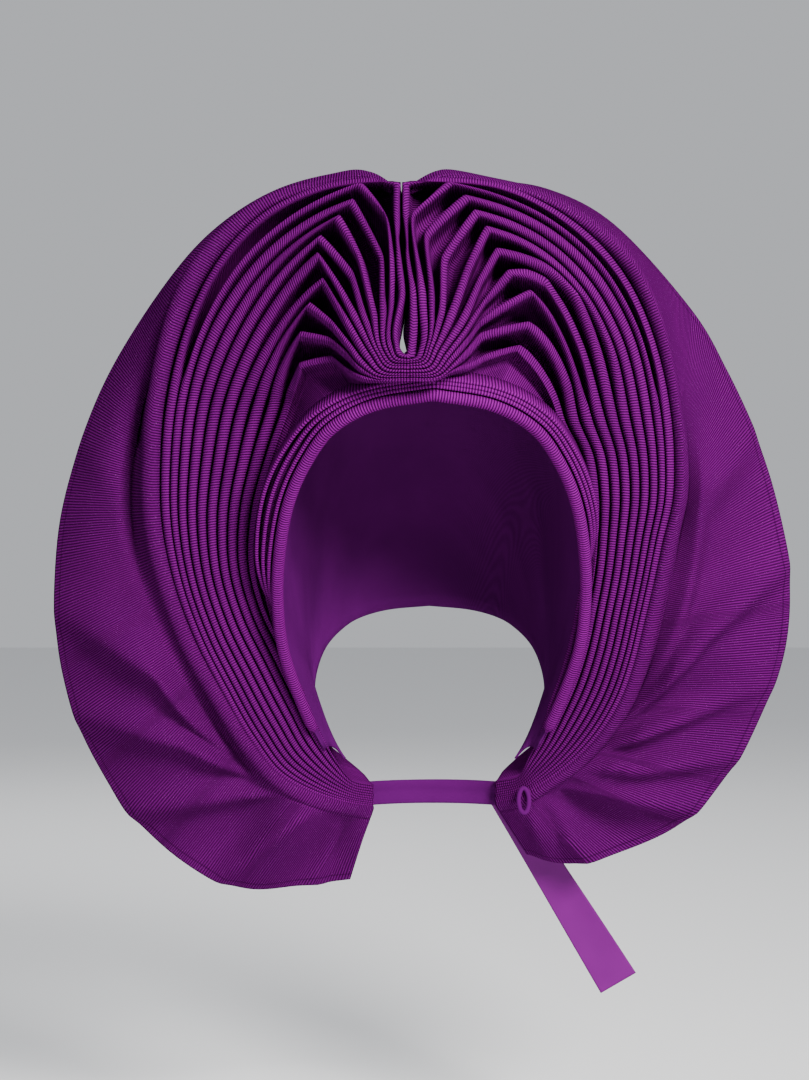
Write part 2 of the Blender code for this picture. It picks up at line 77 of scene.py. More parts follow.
class Finish:
    # one procedural material and its nodes
    def __init__(self, name, roughness, specular=0.0):
        self.material = bpy.data.materials.new(name)
        self.material.use_nodes = True
        self.tree = self.material.node_tree
        self.shader = self.tree.nodes["Principled BSDF"]
        self.shader.inputs["Roughness"].default_value = roughness
        self.shader.inputs["Specular IOR Level"].default_value = specular

    def node(self, kind, settings=None, sockets=None, out=0):
        made = self.tree.nodes.new(kind)
        for key, value in (settings or {}).items():
            if key == "stops":
                ramp = made.color_ramp.elements
                while len(ramp) < len(value):
                    ramp.new(0.5)
                for stop, (place, colour) in zip(ramp, value):
                    stop.position = place
                    stop.color = colour
            else:
                setattr(made, key, value)
        for key, value in (sockets or {}).items():
            feed(self.tree, made.inputs[key], value)
        return Socket(self.tree, made.outputs[out])

    def noise(self, place, scale, detail):
        sockets = {"Vector": place, "Scale": scale, "Detail": detail}
        return self.node("ShaderNodeTexNoise", sockets=sockets)

    def mix(self, factor, first, second):
        made = self.tree.nodes.new("ShaderNodeMix")
        made.data_type = "RGBA"
        feed(self.tree, made.inputs["Factor"], factor)
        for socket, value in ((made.inputs[6], first), (made.inputs[7], second)):
            feed(self.tree, socket, value if isinstance(value, Socket) else (*value, 1.0))
        return Socket(self.tree, made.outputs[2])

    def bump(self, height, distance, strength=1.0):
        raised = self.node("ShaderNodeBump", sockets={
            "Height": height, "Distance": distance, "Strength": strength})
        feed(self.tree, self.shader.inputs["Normal"], raised)

    def to(self, socket, value):
        feed(self.tree, self.shader.inputs[socket], value)


def weaveAxes(finish):
    # the cloth's own coordinates in metres: both together, across it and along it
    place = finish.node("ShaderNodeUVMap", {"uv_map": "weave"})
    across = finish.node("ShaderNodeSeparateXYZ", sockets={"Vector": place})
    return place, across, Socket(finish.tree, across.link.node.outputs[1])


ribbedSettings = {  # lengths in mm
    # groove is painted shade: the colour of the hollows between ribs and between threads
    "light": (0.175, 0.002, 0.186), "base": (0.085, 0.001, 0.095), "groove": (0.009, 0.000, 0.012),
    "roughness": 0.62, "roughChange": 0.25, "ribPitch": 1.40, "ribHeight": 0.42,
    "ribSharpness": 0.75, "wander": 2.4, "wanderScale": 60.0, "threadPitch": 0.42,
    "threadShare": 0.15, "threadHeight": 0.12, "cloudScale": 18.0, "fleckScale": 900.0,
    "glintScale": 2600.0, "glintLimit": 0.79, "glint": (0.40, 0.10, 0.44), "hem": 4.5,
    "hemWide": 0.45, "hemShade": 0.45, "hemDepth": 1.2,
}
# painted shade: the flare's cloth is the same ribbed cloth, with darker tones for the shade it lies
# in
flarePaintedShadeSettings = dict(ribbedSettings, light=(0.125, 0.001, 0.133), base=(0.062, 0.001, 0.070))
# painted light: the roll's and the layers' cloth is the same ribbed cloth, with lighter tones for
# the light that falls on it
bandPaintedLightSettings = dict(ribbedSettings, light=(0.220, 0.003, 0.232), base=(0.120, 0.001, 0.132))


def ribbedFinish(name, look=ribbedSettings, paintedGlints=0.0, hem=False):
    finish = Finish(name, look["roughness"])
    place, across, along = weaveAxes(finish)
    wander = finish.noise(place, look["wanderScale"], 2.0) * look["wander"]
    rib = (along * (2 * math.pi / (look["ribPitch"] * mm)) + wander).sine() * 0.5 + 0.5
    rib = rib ** look["ribSharpness"]
    thread = (across * (2 * math.pi / (look["threadPitch"] * mm))).sine() * 0.5 + 0.5
    cloudy = finish.noise(place, look["cloudScale"], 3.0)
    fleck = finish.noise(place, look["fleckScale"], 1.0)
    tone = (cloudy * 0.8 + fleck * 0.5 - 0.25).within()
    cloth = finish.mix(tone, look["base"], look["light"])
    # painted shade: the rib grooves and the gaps between threads are darkened towards the groove
    # colour
    shade = (rib * (1 - look["threadShare"]) + thread * look["threadShare"]).within()
    colour = finish.mix(shade, look["groove"], cloth)
    height = rib + thread * look["threadHeight"]
    # painted glints: small specks of brighter colour stand in for highlights off the threads
    if paintedGlints:
        glint = (finish.noise(place, look["glintScale"], 0.0) > look["glintLimit"]) * paintedGlints
        colour = finish.mix(glint, colour, look["glint"])
    if hem:
        edge = finish.node("ShaderNodeUVMap", {"uv_map": "hem"})
        rim = finish.node("ShaderNodeSeparateXYZ", sockets={"Vector": edge})
        line = ((rim - look["hem"] * mm).size() < look["hemWide"] * mm) * look["hemShade"]
        colour = finish.mix(line, colour, look["groove"])
        height = height - line * look["hemDepth"]
    finish.to("Base Color", colour)
    rough = fleck * look["roughChange"] + (look["roughness"] - look["roughChange"] * 0.48)
    finish.to("Roughness", rough.within())
    finish.bump(height, look["ribHeight"] * mm, 0.9)
    return finish.material


plainSettings = {
    "light": (0.085, 0.003, 0.100), "dark": (0.030, 0.001, 0.040), "roughness": 0.72,
    "weavePitch": 0.55, "weaveHeight": 0.12, "cloudScale": 25.0,
}


def plainFinish(name, look=plainSettings):
    finish = Finish(name, look["roughness"])
    place, across, along = weaveAxes(finish)
    turn = 2 * math.pi / (look["weavePitch"] * mm)
    weave = (across * turn).sine() * (along * turn).sine() * 0.5 + 0.5
    cloudy = finish.noise(place, look["cloudScale"], 3.0)
    tone = (weave * 0.5 + cloudy * 0.6).within()
    finish.to("Base Color", finish.mix(tone, look["dark"], look["light"]))
    finish.bump(weave, look["weaveHeight"] * mm, 0.8)
    return finish.material


satinSettings = {
    "light": (0.125, 0.004, 0.138), "dark": (0.085, 0.002, 0.097), "roughness": 0.27,
    "roughChange": 0.2, "specular": 0.08, "threadPitch": 0.30, "threadHeight": 0.05,
    "slant": 0.4, "cloudScale": 35.0,
}


def satinFinish(name, look=satinSettings):
    finish = Finish(name, look["roughness"], look["specular"])
    place, across, along = weaveAxes(finish)
    turn = 2 * math.pi / (look["threadPitch"] * mm)
    thread = ((across + along * look["slant"]) * turn).sine() * 0.5 + 0.5
    cloudy = finish.noise(place, look["cloudScale"], 2.0)
    tone = (cloudy * 0.9 + thread * 0.15).within()
    finish.to("Base Color", finish.mix(tone, look["dark"], look["light"]))
    finish.to("Roughness", (cloudy * look["roughChange"] + look["roughness"]).within())
    finish.bump(thread, look["threadHeight"] * mm, 0.6)
    return finish.material


def smoothLine(points, count):
    # a smooth line through a few points, as many points as asked for
    points = np.asarray(points, dtype=float)
    place = np.linspace(0, len(points) - 1, count)
    first = np.minimum(place.astype(int), len(points) - 2)
    t = place - first
    t = t.reshape((-1,) + (1,) * (points.ndim - 1))
    before = np.where((first > 0).reshape(t.shape), points[np.maximum(first - 1, 0)],
                      2 * points[0] - points[1])
    after = np.where((first + 2 < len(points)).reshape(t.shape),
                     points[np.minimum(first + 2, len(points) - 1)], 2 * points[-1] - points[-2])
    here, there = points[first], points[first + 1]
    return 0.5 * (2 * here + (there - before) * t
                  + (2 * before - 5 * here + 4 * there - after) * t**2
                  + (3 * here - before - 3 * there + after) * t**3)


def bezier(start, control, end, shares):
    t = np.asarray(shares)[:, None]
    return (1 - t) ** 2 * start + 2 * t * (1 - t) * control + t**2 * end


def lengths(line):
    # how far along a line each of its points lies
    steps = np.linalg.norm(np.diff(line, axis=0), axis=1)
    return np.concatenate([[0.0], np.cumsum(steps)])


def clothPiece(name, grid, weave, wall, material, nodes, offset=1.0, hem=None,
               closed=False):
    # a grid of points in mm becomes a cloth with its wall, its weave laid out in metres
    grid = np.asarray(grid)
    rows, cols = grid.shape[:2]
    mesh = bpy.data.meshes.new(name)
    around = cols if closed else cols - 1
    r, c = np.meshgrid(np.arange(rows - 1), np.arange(around), indexing="ij")
    nextC = (c + 1) % cols
    here, below = r * cols, (r + 1) * cols
    faces = np.stack([here + c, here + nextC, below + nextC, below + c], -1).reshape(-1, 4)
    mesh.from_pydata((grid.reshape(-1, 3) * mm).tolist(), [], faces.tolist())
    layer = mesh.uv_layers.new(name="weave")
    corners = weave(r, c)  # in mm, four for each face
    layer.data.foreach_set("uv", (np.asarray(corners, dtype=float) * mm).reshape(-1))
    if hem is not None:
        edge = mesh.uv_layers.new(name="hem")
        flat = hem.reshape(-1)[faces.reshape(-1)] * mm
        edge.data.foreach_set("uv", np.stack([flat, flat * 0], -1).reshape(-1))
    mesh.shade_smooth()
    piece = bpy.data.objects.new(name, mesh)
    bpy.context.scene.collection.objects.link(piece)
    if wall:
        thick = piece.modifiers.new("wall", "SOLIDIFY")
        thick.thickness = wall * mm
        thick.offset = offset
        thick.use_even_offset = False
    mesh.materials.append(material)
    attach(piece, "root")
    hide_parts(*nodes)
    return piece


def gridWeave(acrossGrid, alongGrid):
    # corner coordinates of each quad from two grids of lengths
    def corners(r, c):
        cols = acrossGrid.shape[1]
        spots = [(r, c), (r, (c + 1) % cols), (r + 1, (c + 1) % cols), (r + 1, c)]
        return np.stack([np.stack([acrossGrid[s], alongGrid[s]], -1) for s in spots], 2)
    return corners


def ribWeave(across, along):
    # as gridWeave, with the ribs of each strip of faces kept square to it
    def corners(r, c):
        lower, upper = along[r, c], along[r + 1, c]
        return np.stack([np.stack([across[r, c], lower], -1),
                         np.stack([across[r, c + 1], lower], -1),
                         np.stack([across[r + 1, c + 1], upper], -1),
                         np.stack([across[r + 1, c], upper], -1)], 2)
    return corners


def gridLengths(grid):
    # how far each point lies across the cloth and along it
    across = np.stack([lengths(row) for row in grid])
    along = np.stack([lengths(line) for line in grid.transpose(1, 0, 2)], 1)
    return across, along


def declareCloth(grid):
    # works out the edge vectors of the grid's cells, whose points are in mm; it keeps and returns
    # nothing
    grid = np.asarray(grid)
    a = grid[1:, :-1] - grid[:-1, :-1]
    b = grid[:-1, 1:] - grid[:-1, :-1]


# sizes of the folded cloth, in mm; the tables hold shares of them
size = {
    "pleats": 10, "pinchAhead": 16.0, "pinchAbove": 3.4, "pinchAside": -0.16, "crestDepth": 33.0,
    "halfSpread": 200.0, "rimRise": 310.0, "broadRoll": 9.0, "groove": 24.0, "belly": 9.0,
    "shareBend": 1.18, "gatherY": 46.0, "gatherDrop": -0.961, "headX": -2.0, "halfBreadth": 76.0,
    "faceRise": 231.0, "faceAngle": 123.2,
}
gatherY, headX, halfBreadth = size["gatherY"], size["headX"], size["halfBreadth"]
gatherZ = size["gatherDrop"] * size["faceRise"]
faceTurn = math.radians(size["faceAngle"])
faceBack = np.array([0.0, math.sin(faceTurn), -math.cos(faceTurn)])  # square to the front opening
pinchX = headX + size["pinchAside"] * halfBreadth
pinchY = gatherY + size["faceRise"] * math.cos(faceTurn) - size["pinchAhead"]
pinchZ = gatherZ + size["faceRise"] * math.sin(faceTurn) + size["pinchAbove"]

# one row for each fold, in mm from the pinch as seen from the front: x and z of the turn out of
# the pinch, of the fan's middle, of its elbow and of its crest, then the crest's y, its bulge
fanLeft = (
    (-4.3, 20.5, -1.0, 45.4, -3.4, 74.7, -2.9, 99.0, 0.856, 0.85),
    (-6.2, 16.1, -6.2, 40.5, -9.4, 83.2, -22.1, 98.4, 0.856, 0.60),
    (-8.2, 15.1, -9.6, 35.6, -10.1, 60.5, -25.4, 89.2, 0.856, 0.54),
    (-10.6, 15.1, -15.4, 35.6, -22.6, 63.5, -32.8, 82.0, 0.849, 0.44),
    (-12.5, 15.1, -18.2, 29.8, -25.2, 53.2, -42.0, 72.4, 0.835, 0.33),
    (-14.4, 14.2, -21.1, 27.3, -30.9, 45.6, -42.0, 63.3, 0.842, 0.28),
    (-17.0, 12.6, -24.6, 24.5, -31.8, 37.8, -38.9, 50.9, 0.849, 0.30),
    (-20.2, 9.4, -27.8, 19.5, -35.7, 30.0, -47.2, 39.9, 0.814, 0.26),
    (-20.4, 6.5, -27.8, 14.4, -36.7, 22.0, -51.2, 25.6, 0.786, 0.28),
    (-18.6, 2.0, -27.1, 6.4, -35.0, 13.4, -51.4, 10.8, 0.744, 0.05),
)
fanRight = (
    (3.4, 15.1, 4.3, 40.5, 1.9, 65.0, 0.4, 99.0, 0.856, 0.93),
    (9.1, 17.1, 8.7, 40.5, 4.3, 83.2, 22.3, 98.9, 0.856, 0.76),
    (11.5, 18.1, 13.9, 40.5, 11.1, 72.2, 31.0, 91.7, 0.856, 0.70),
    (13.0, 17.6, 17.3, 33.2, 19.3, 60.5, 35.3, 84.2, 0.849, 0.68),
    (14.9, 16.1, 22.1, 31.7, 31.9, 58.0, 41.1, 76.6, 0.842, 0.68),
    (17.8, 14.6, 26.9, 28.3, 36.8, 50.2, 45.6, 65.6, 0.842, 0.80),
    (20.6, 13.2, 30.7, 26.4, 40.1, 41.0, 51.4, 55.0, 0.835, 0.60),
    (22.1, 11.2, 29.8, 20.5, 37.0, 30.7, 63.1, 46.6, 0.800, 0.38),
    (24.5, 8.8, 30.2, 15.1, 37.2, 23.9, 60.9, 30.4, 0.786, 0.50),
    (22.1, 5.0, 30.7, 8.3, 41.0, 14.1, 56.1, 19.2, 0.772, 0.35),
)
# height of each fold where it crosses the pinch, and how far it is tucked behind the others
pinchRows = ((12.2, 0.0), (11.0, 1.6), (9.8, 0.0), (8.7, 1.6), (7.6, 0.0),
             (5.4, 0.0), (4.3, 1.6), (3.2, 0.0), (2.1, 1.6), (1.0, 0.0))
# folds whose shoulder bends in its own way: x and z of its four stations
bendsLeft = {0: ((-16.3, 99.8), (-37.8, 97.9), (-64.4, 87.8), (-87.2, 67.9))}
bendsRight = {
    0: ((17.0, 100.0), (47.8, 97.8), (75.0, 86.2), (101.5, 65.2)),
    5: ((59.7, 62.8), (72.7, 57.3), (85.0, 46.5), (94.0, 27.6)),
    6: ((59.7, 55.0), (68.3, 51.9), (75.8, 42.6), (85.7, 25.1)),
}
secondCorner = {5: 8, 6: 7}  # right folds with a second corner, and the station where it is

# one row for each level down the side: fold 1 x y z, fold 10 x y z, roll, depth
levelLeft = (
    (-0.657, 0.533, 0.986, -0.937, 0.618, 0.982, 1.00, 0.97),
    (-0.675, 0.491, 0.833, -1.070, 0.547, 0.844, 0.87, 0.91),
    (-0.677, 0.442, 0.678, -1.179, 0.477, 0.704, 0.82, 0.85),
    (-0.653, 0.386, 0.521, -1.214, 0.414, 0.574, 0.72, 0.79),
    (-0.602, 0.316, 0.361, -1.159, 0.309, 0.454, 0.67, 0.70),
    (-0.541, 0.239, 0.225, -1.004, 0.225, 0.318, 0.56, 0.61),
    (-0.470, 0.154, 0.086, -0.866, 0.133, 0.193, 0.44, 0.48),
    (-0.403, 0.084, -0.009, -0.767, 0.056, 0.093, 0.33, 0.36),
    (-0.303, 0.028, -0.068, -0.658, -0.007, 0.011, 0.27, 0.27),
    (-0.217, -0.035, -0.099, -0.566, -0.056, -0.038, 0.24, 0.18),
    (-0.155, -0.126, -0.117, -0.408, -0.140, -0.061, 0.22, 0.15),
)
levelRight = (
    (0.595, 0.519, 0.935, 0.842, 0.604, 0.931, 0.78, 0.97),
    (0.605, 0.477, 0.833, 0.966, 0.533, 0.845, 0.78, 0.91),
    (0.605, 0.442, 0.730, 1.018, 0.491, 0.742, 0.72, 0.88),
    (0.586, 0.400, 0.626, 1.034, 0.435, 0.639, 0.62, 0.82),
    (0.568, 0.358, 0.521, 1.029, 0.379, 0.547, 0.56, 0.76),
    (0.548, 0.309, 0.414, 0.997, 0.323, 0.454, 0.51, 0.70),
    (0.527, 0.253, 0.306, 0.959, 0.260, 0.360, 0.47, 0.61),
    (0.495, 0.182, 0.196, 0.900, 0.182, 0.263, 0.42, 0.52),
    (0.443, 0.112, 0.097, 0.826, 0.112, 0.170, 0.36, 0.42),
    (0.371, 0.042, 0.013, 0.757, 0.035, 0.076, 0.31, 0.33),
    (0.311, -0.000, -0.037, 0.697, -0.014, 0.020, 0.27, 0.24),
    (0.247, -0.042, -0.081, 0.653, -0.056, -0.023, 0.24, 0.18),
    (0.180, -0.126, -0.107, 0.474, -0.140, -0.051, 0.22, 0.15),
)

# one row for each station of the rim: x y z, groove, lift
rimLeft = (
    (-0.087, 0.309, 0.987, 0.25, 0.00),
    (-0.165, 0.300, 0.995, 0.28, 0.00),
    (-0.265, 0.281, 0.997, 0.33, 0.00),
    (-0.444, 0.239, 0.974, 0.67, 0.22),
    (-0.621, 0.218, 0.891, 0.92, 0.56),
    (-0.802, 0.211, 0.729, 1.00, 0.89),
    (-0.908, 0.196, 0.585, 1.00, 1.00),
    (-0.982, 0.182, 0.415, 0.83, 0.89),
    (-0.993, 0.126, 0.225, 0.50, 0.44),
    (-0.943, 0.056, 0.076, 0.38, 0.67),
    (-0.842, -0.014, -0.053, 0.50, 1.00),
    (-0.730, -0.084, -0.141, 0.58, 0.44),
    (-0.620, -0.140, -0.195, 0.33, -0.56),
    (-0.498, -0.196, -0.225, 0.08, 0.44),
    (-0.361, -0.239, -0.222, 0.21, -0.56),
    (-0.222, -0.267, -0.213, 0.08, 0.33),
)
rimRight = (
    (-0.067, 0.309, 0.987, 0.25, 0.00),
    (0.010, 0.300, 0.996, 0.28, 0.00),
    (0.120, 0.281, 1.001, 0.33, 0.00),
    (0.300, 0.239, 0.991, 0.42, 0.22),
    (0.480, 0.218, 0.932, 0.50, 0.44),
    (0.683, 0.211, 0.789, 0.42, 0.67),
    (0.777, 0.204, 0.687, 0.38, 0.78),
    (0.843, 0.196, 0.594, 0.33, 0.78),
    (0.898, 0.182, 0.500, 0.33, 0.67),
    (0.938, 0.161, 0.397, 0.38, 0.33),
    (0.955, 0.133, 0.294, 0.33, 0.67),
    (0.943, 0.098, 0.199, 0.25, 0.89),
    (0.900, 0.056, 0.111, 0.42, 0.22),
    (0.833, 0.007, 0.018, 0.38, 0.67),
    (0.723, -0.056, -0.079, 0.12, 0.56),
    (0.592, -0.119, -0.138, 0.25, -0.44),
    (0.403, -0.182, -0.178, 0.12, 0.44),
    (0.272, -0.239, -0.166, 0.12, 0.22),
)


# climb of the arch and how far out it is there, as shares of its rise and its half breadth
archTable = ((0.00, 0.66), (0.15, 0.83), (0.33, 0.97), (0.48, 1.00), (0.62, 0.97), (0.74, 0.90),
             (0.84, 0.78), (0.92, 0.62), (0.975, 0.36), (1.00, 0.0))
# one row for each rib of the crown: angle, rise, breadth, foot, squareness of its left side
wrapTable = (
    (122.8, 0.990, 1.04, 0.020, 1.00), (115.0, 1.000, 1.03, 0.020, 0.80),
    (107.0, 0.975, 1.01, 0.020, 0.70), (98.0, 0.965, 0.99, 0.020, 0.75),
    (88.0, 0.900, 0.96, 0.020, 0.90), (78.0, 0.805, 0.92, 0.020, 1.00),
    (68.0, 0.640, 0.88, 0.020, 1.00), (60.0, 0.430, 0.84, 0.020, 1.00),
)
archSteps, squareFrom = 91, 0.3  # points of an arch, and the climb from which it is squared


def archPoints(angle, rise, breadth, shares, square=1.0):
    # one arch of the hollow, from its left foot over the top to its right foot
    arch = smoothLine(archTable, archSteps)
    order = np.linspace(0, 1, archSteps)
    shares = np.asarray(shares)
    left = shares < 0.5
    climb = 1 - np.abs(2 * shares - 1)
    up = np.interp(climb, order, arch[:, 0]) * rise * size["faceRise"]
    wide = np.maximum(np.interp(climb, order, arch[:, 1]), 0)
    wide = np.where((climb > squareFrom) & left, wide ** square, wide)
    wide = wide * halfBreadth * breadth
    turn = math.radians(angle)
    return np.stack([headX + np.where(left, -wide, wide), gatherY + up * math.cos(turn),
                     gatherZ + up * math.sin(turn)], -1)


wrapLook = {"rows": 50, "across": 121, "wall": 1.2, "ripple": 0.35, "flat": (0.45, 0.25)}


def crownWrap():
    ribs = smoothLine(wrapTable, wrapLook["rows"])
    count = wrapLook["across"]
    grid = np.array([archPoints(angle, rise, wide, np.linspace(foot, 1 - foot, count), square)
                     for angle, rise, wide, foot, square in ribs])
    x = np.linspace(0, 1, grid.shape[1])[None, :]
    y = np.linspace(0, 1, grid.shape[0])[:, None]
    ripple = np.sin(x * 31 + 2.2 * np.sin(y * 5)) + np.sin(x * 17 - y * 9)
    grid[..., 1] += ripple * wrapLook["ripple"] * np.sin(np.pi * y) ** 0.5
    piece = clothPiece("crownWrapCloth", grid, gridWeave(*gridLengths(grid)), wrapLook["wall"],
                       plainFinish("crownWeave"), ["crown_wrap"], offset=0.0)
    declareCloth(grid)
    print("stage:", piece.name, grid.shape)


bandLook = {"radius": 3.1, "around": 20, "along": 320, "breadth": 1.04, "foot": 0.04, "taper": 4.0,
            "flat": (0.013, 0.4)}


def bandPath(low, high, count):
    path = archPoints(size["faceAngle"], 1.0, bandLook["breadth"], np.linspace(low, high, count))
    for _ in range(2):
        path[1:-1] = (path[:-2] + path[1:-1] * 2 + path[2:]) / 4
    out = np.cross(np.gradient(path, axis=0), faceBack)
    return path, out / np.linalg.norm(out, axis=1)[:, None]


def endCount(path):
    # how many points lie between each point and the nearer end
    return np.minimum(np.arange(len(path)), np.arange(len(path))[::-1])


def faceBand():
    path, out = bandPath(bandLook["foot"], 1 - bandLook["foot"], bandLook["along"])
    turn = np.linspace(0, 2 * math.pi, bandLook["around"], endpoint=False)
    end = np.minimum(endCount(path) / bandLook["taper"], 1.0)
    radius = bandLook["radius"] * np.sqrt(np.clip(1 - (1 - end) ** 2, 0.02, 1))[:, None, None]
    grid = path[:, None] + radius * (np.sin(turn)[None, :, None] * out[:, None]
                                     - np.cos(turn)[None, :, None] * faceBack)
    across = np.broadcast_to(turn * bandLook["radius"], grid.shape[:2])
    along = np.broadcast_to(lengths(path)[:, None], grid.shape[:2])
    piece = clothPiece("foreheadRoll", grid, gridWeave(across, along), 0,
                       ribbedFinish("rollWeave", bandPaintedLightSettings), ["face_band"],
                       closed=True)
    declareCloth(grid)
    print("stage:", piece.name, grid.shape)


layerLook = {
    "low": 0.14, "high": 0.81, "along": 240, "first": 4.9, "pitch": 1.4, "spreadLeft": 2.6,
    "spreadRight": 0.7, "lip": 0.95, "leg": 0.55, "deep": 9.0, "wall": 0.3, "setBack": 1.2,
    "lead": 1.0, "tuckPoints": 26.0, "tuckBack": 7.0, "tuckFoot": 1.5, "flat": (0.023, 0.36),
}


def bandLayers():
    # three thin folded layers outside the roll, their ends tucked in behind it
    look = layerLook
    path, out = bandPath(look["low"], look["high"], look["along"])
    beside = np.linspace(-1, 1, len(path))
    spread = np.where(beside < 0, look["spreadLeft"], look["spreadRight"])
    spread = spread * np.sin(math.pi * np.abs(beside) ** 1.3)
    tuck = np.clip(1 - endCount(path) / look["tuckPoints"], 0, 1) ** 2
    for n in range(3):
        grow = look["first"] + n * (look["pitch"] + spread)
        front = (look["setBack"] * n - look["lead"] + look["tuckBack"] * tuck)[:, None]
        grow = grow - (grow - look["tuckFoot"]) * tuck
        centre = path + out * grow[:, None] + faceBack * front
        foot = centre + faceBack * (look["deep"] + front)
        columns = [foot + out * look["leg"]]
        for angle in np.linspace(0, math.pi, 9):
            columns.append(centre + out * look["lip"] * math.cos(angle)
                           - faceBack * look["lip"] * (math.sin(angle) - 1))
        columns.append(foot - out * look["leg"])
        grid = np.stack(columns, 1)
        across = gridLengths(grid)[0]
        along = np.broadcast_to(lengths(path)[:, None], grid.shape[:2])
        piece = clothPiece("stackedLayer%d" % (n + 1), grid, gridWeave(across, along), look["wall"],
                           ribbedFinish("layerWeave%d" % (n + 1), bandPaintedLightSettings),
                           ["band_layer_%d" % (n + 1)], offset=-1.0)
        declareCloth(grid)
    print("stage: three layers outside the roll")


def forward(share):
    return gatherY + share * (pinchY - gatherY)


def upSide(share):
    return gatherZ + share * (pinchZ - gatherZ)


def flowLine(points, sharpness, counts):
    # a smooth line through its stations; sharpness 1 flows on, less than that makes a corner
    points = np.asarray(points, dtype=float)
    chord = np.linalg.norm(np.diff(points, axis=0), axis=1)
    slope = np.diff(points, axis=0) / chord[:, None]
    between = slope[1:] * chord[:-1, None] + slope[:-1] * chord[1:, None]
    between /= (chord[:-1] + chord[1:])[:, None]
    tangent = np.concatenate([slope[:1], between, slope[-1:]])
    tangent *= np.asarray(sharpness)[:, None]
    line = []
    for i, count in enumerate(counts):
        t = np.linspace(0, 1, count, endpoint=False)[:, None]
        leaves = (t**3 - 2 * t**2 + t) * chord[i] * tangent[i]
        arrives = (t**3 - t**2) * chord[i] * tangent[i + 1]
        line.append((2 * t**3 - 3 * t**2 + 1) * points[i] + leaves
                    + (3 * t**2 - 2 * t**3) * points[i + 1] + arrives)
    return np.concatenate(line + [points[-1:]])


fanCounts = (5, 6, 12, 14, 15)  # rows of the grid between the stations up to the crest
crestRow = sum(fanCounts)
stationLook = {
    "centre": 2.0, "aside": 2.0, "above": 1.0, "heelAcross": 0.70, "heelUp": 0.16,
    "cornerAhead": 6.0,
    "forward": (0.0, 0.02, 0.08, 0.35, 0.7, 1.0),  # how far out each station of the fan has come
    "depth": (4.0, 5.0, 8.0, 18.0, 27.0), "shoulder": (0.12, 0.30, 0.49, 0.72),
}


def ridgeStations(side, fan, bends, levelRows):
    # the ridge of each fold at its stations: five of the fan, the crest, the shoulder, the levels
    look = stationLook
    fan = np.array(fan)
    level = np.array(levelRows)
    outer = np.stack([headX + level[:, 0] * size["halfSpread"], forward(level[:, 1]),
                      upSide(level[:, 2])], -1)
    inner = np.stack([headX + level[:, 3] * halfBreadth, forward(level[:, 4]),
                      upSide(level[:, 5])], -1)
    low = np.array([pinchX - look["aside"], 0.0, pinchZ + look["above"]])
    stations = []
    for k in range(size["pleats"]):
        height, tuck = pinchRows[k]
        crestY = forward(fan[k, 8])
        turn, middle, elbow, crest = fan[k, :8].reshape(4, 2)
        heel = (look["centre"] + (turn[0] - look["centre"]) * look["heelAcross"],
                height + (turn[1] - height) * look["heelUp"])
        seen = [(look["centre"], height), heel, turn, middle, elbow, crest]
        line = [low + (x, pinchY + (crestY - pinchY) * f + tuck * (1 - f) ** 6, z)
                for (x, z), f in zip(seen, look["forward"])]
        levels = outer + (inner - outer) * (k / (size["pleats"] - 1)) ** size["shareBend"]
        top = line[-1]
        middle = (top + levels[0]) / 2
        corner = np.array([levels[0][0], middle[1] - look["cornerAhead"], top[2]])
        shoulder = bezier(top, middle + fan[k, 9] * (corner - middle), levels[0], look["shoulder"])
        if k in bends:
            for point, (x, z) in zip(shoulder, bends[k]):
                point[0], point[2] = low[0] + x, low[2] + z
        stations.append(np.vstack([line, shoulder, levels]))
    fullDepth = [size["crestDepth"]] * (len(look["shoulder"]) + 1)
    depths = list(look["depth"]) + fullDepth + list(level[:, 7] * size["crestDepth"])
    return np.array(stations), np.array(depths), level[:, 6] * size["broadRoll"]


rollStart = {"offset": (0.0, 3.0, 4.0, 6.5, 9.0), "behind": (9.0, 12.0, 12.0, 7.0, 1.0),
             "aside": 3.0, "back": 10.0, "drop": 4.0}


def rollStations(first, roll, side):
    # the broad roll outside the first fold; near the notch it hides behind that fold
    along = np.gradient(first, axis=0)
    away = np.stack([-side * along[:, 2], 0 * along[:, 0], side * along[:, 0]], -1)
    away /= np.linalg.norm(away, axis=1)[:, None]
    line = first + away * np.concatenate([rollStart["offset"], roll])[:, None]
    line[:, 1] += np.concatenate([rollStart["behind"], roll * 0])
    behind = (side * rollStart["aside"], rollStart["back"], -rollStart["drop"])
    line[0] = first[0] + np.array(behind)
    return line


def spread(values, counts):
    # one value for each station becomes one for each row of the grid
    places = np.concatenate([[0], np.cumsum(counts)])
    return np.interp(np.arange(places[-1] + 1), places, values)


foldLook = {
    "rest": 11, "fill": 0.82, "fanWide": 2.2, "sideWide": 2.9,
    "firstWide": (2.4, 2.6, 3.2, 3.6, 3.4), "firstReach": 2.7, "elbow": 0.45, "crest": 0.12,
    "secondCorner": 0.3, "soften": 2, "wall": 0.5, "slotNarrow": 0.42,
    "slotRow": 10, "slotRows": 3.0, "leafDip": 13.0, "leafSteps": 10, "flat": (1.0, 0.4),
}


